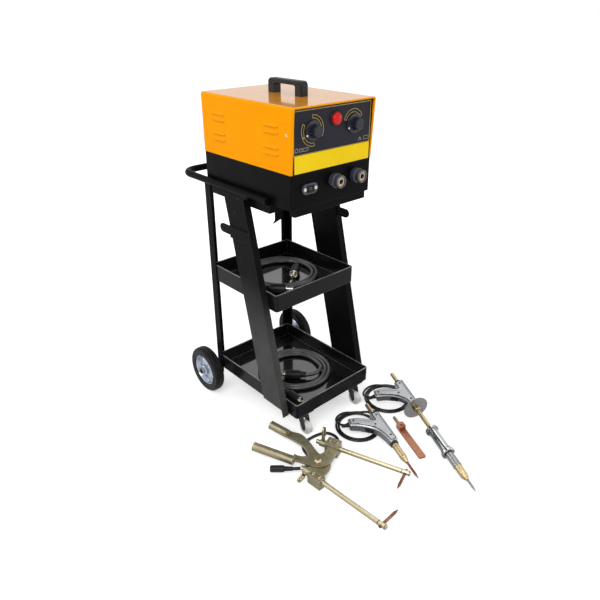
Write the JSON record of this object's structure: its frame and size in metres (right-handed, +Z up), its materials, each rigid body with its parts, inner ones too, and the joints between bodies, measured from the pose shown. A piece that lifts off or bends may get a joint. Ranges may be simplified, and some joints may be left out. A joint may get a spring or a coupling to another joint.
{
  "type": "dent pulling spot welder on a trolley",
  "caption": "Spot welder for pulling car body dents: boxy case on a wheeled tray trolley, with welding cables, a tong clamp, pulling guns and an earth bar.",
  "frame": {"origin": "on the floor under the trolley, in its middle plane, near the front of the bottom tray", "axes": "+Z up, the control panel faces -Y, +X to the right as seen from the back towards the front panel's right"},
  "size_m": [0.5636, 0.97, 0.959],
  "materials": {
    "black_paint": "satin powder coat",
    "yellow_paint": "gloss paint",
    "panel_paint": "satin printed panel",
    "bright_steel": "zinc plated",
    "tyre_rubber": "matte rubber",
    "rim_paint": "satin grey paint",
    "castor_zinc": "zinc plated",
    "white_nylon": "moulded nylon",
    "black_plastic": "moulded plastic",
    "red_lens": "clear red moulding",
    "brass": "turned brass",
    "core_steel": "laminated core",
    "copper": "bare copper",
    "board_green": "circuit board",
    "cable_rubber": "rubber sheath",
    "plug_rubber": "moulded rubber",
    "gold_zinc": "yellow passivated zinc",
    "gold_bar": "yellow passivated bar",
    "gun_grey": "moulded grey plastic",
    "chrome": "bright plate"
  },
  "bodies": {
    "trolley": {"platform": "black_paint", "push_handle": "black_paint", "slanted_legs": "black_paint", "rear_posts": "black_paint", "middle_tray": "black_paint", "bottom_tray": "black_paint", "axle": "bright_steel", "castor_plates": "castor_zinc", "cover": "yellow_paint", "tub": "black_paint", "front_panel": "panel_paint", "rear_panel": "black_paint", "top_handle": "black_plastic", "panel_controls": "black_plastic", "lamp_lens": "red_lens", "front_sockets": "black_plastic", "socket_contacts": "brass", "transformer_core": "core_steel", "transformer_windings": "copper", "control_board": "board_green", "mains_gland": "black_plastic", "middle_coil": "cable_rubber", "bottom_coil": "cable_rubber", "plug_bodies": "plug_rubber", "plug_pins": "brass"},
    "left_wheel": {"left_tyre": "tyre_rubber", "left_rim": "rim_paint"},
    "right_wheel": {"right_tyre": "tyre_rubber", "right_rim": "rim_paint"},
    "left_castor": {"left_castor_fork": "castor_zinc"},
    "right_castor": {"right_castor_fork": "castor_zinc"},
    "left_roller": {"left_castor_wheel": "white_nylon"},
    "right_roller": {"right_castor_wheel": "white_nylon"},
    "left_dial": {"left_knob": "black_plastic"},
    "right_dial": {"right_knob": "black_plastic"},
    "tongs": {"tong_base_jaw": "gold_zinc", "tong_pivot": "gold_zinc", "tong_base_arm": "gold_bar", "tong_base_tip": "copper", "tong_cable": "cable_rubber", "tong_connector": "plug_rubber"},
    "tong_lever": {"tong_swing_jaw": "gold_zinc", "tong_swing_arm": "gold_bar", "tong_swing_tip": "copper"},
    "gun_a": {"gun_a_body": "gun_grey", "gun_a_rod": "brass", "gun_a_tip": "copper", "gun_a_cable": "cable_rubber", "gun_a_plug": "plug_rubber"},
    "gun_a_button": {"gun_a_trigger": "black_plastic"},
    "gun_b": {"gun_b_body": "gun_grey", "hammer_rod": "brass", "hammer_collars": "chrome", "hammer_tip": "chrome", "gun_b_cable": "cable_rubber", "gun_b_plug": "plug_rubber"},
    "gun_b_button": {"gun_b_trigger": "black_plastic"},
    "hammer": {"hammer_weight": "chrome"},
    "earth_bar": {"ground_bar": "copper", "ground_pin": "brass"}
  },
  "joints": [
    {"name": "left_wheel_spin", "type": "hinge", "parent": "trolley", "child": "left_wheel", "pos_m": [-0.189, 0.367, 0.075], "axis": [1, 0, 0], "continuous": true},
    {"name": "right_wheel_spin", "type": "hinge", "parent": "trolley", "child": "right_wheel", "pos_m": [0.189, 0.367, 0.075], "axis": [1, 0, 0], "continuous": true},
    {"name": "left_castor_swivel", "type": "hinge", "parent": "trolley", "child": "left_castor", "pos_m": [-0.105, 0.002, 0.06], "axis": [0, 0, 1], "continuous": true},
    {"name": "right_castor_swivel", "type": "hinge", "parent": "trolley", "child": "right_castor", "pos_m": [0.105, 0.002, 0.06], "axis": [0, 0, 1], "continuous": true},
    {"name": "left_roller_spin", "type": "hinge", "parent": "left_castor", "child": "left_roller", "pos_m": [-0.105, -0.013, 0.021], "axis": [1, 0, 0], "continuous": true},
    {"name": "right_roller_spin", "type": "hinge", "parent": "right_castor", "child": "right_roller", "pos_m": [0.105, -0.013, 0.021], "axis": [1, 0, 0], "continuous": true},
    {"name": "left_knob_turn", "type": "hinge", "parent": "trolley", "child": "left_dial", "pos_m": [-0.07, 0.009, 0.865], "axis": [0, 1, 0], "range_deg": [-60, 240]},
    {"name": "right_knob_turn", "type": "hinge", "parent": "trolley", "child": "right_dial", "pos_m": [0.07, 0.009, 0.865], "axis": [0, 1, 0], "range_deg": [-60, 240]},
    {"name": "tongs_lift", "type": "slide", "parent": "trolley", "child": "tongs", "axis": [0, -0.95, 0.3122], "range_m": [0, 0.5]},
    {"name": "tong_pivot_turn", "type": "hinge", "parent": "tongs", "child": "tong_lever", "pos_m": [-0.185, -0.146, 0.024], "axis": [0, 0, 1], "range_deg": [-4, 12]},
    {"name": "gun_a_lift", "type": "slide", "parent": "trolley", "child": "gun_a", "axis": [0, 0, 1], "range_m": [0, 0.5]},
    {"name": "gun_a_trigger_press", "type": "slide", "parent": "gun_a", "child": "gun_a_button", "axis": [0.8896, 0.439, 0.1261], "range_m": [0, 0.003], "stiffness_N_per_m": 600},
    {"name": "gun_b_lift", "type": "slide", "parent": "trolley", "child": "gun_b", "axis": [0, -0.8, 0.6], "range_m": [0, 0.5]},
    {"name": "gun_b_trigger_press", "type": "slide", "parent": "gun_b", "child": "gun_b_button", "axis": [0.8703, 0.3868, 0.3049], "range_m": [0, 0.003], "stiffness_N_per_m": 600},
    {"name": "hammer_slide", "type": "slide", "parent": "gun_b", "child": "hammer", "axis": [0.3866, 0.9153, 0.1132], "range_m": [0, 0.077]},
    {"name": "earth_bar_lift", "type": "slide", "parent": "trolley", "child": "earth_bar", "axis": [0, 0, 1], "range_m": [0, 0.5]}
  ]
}
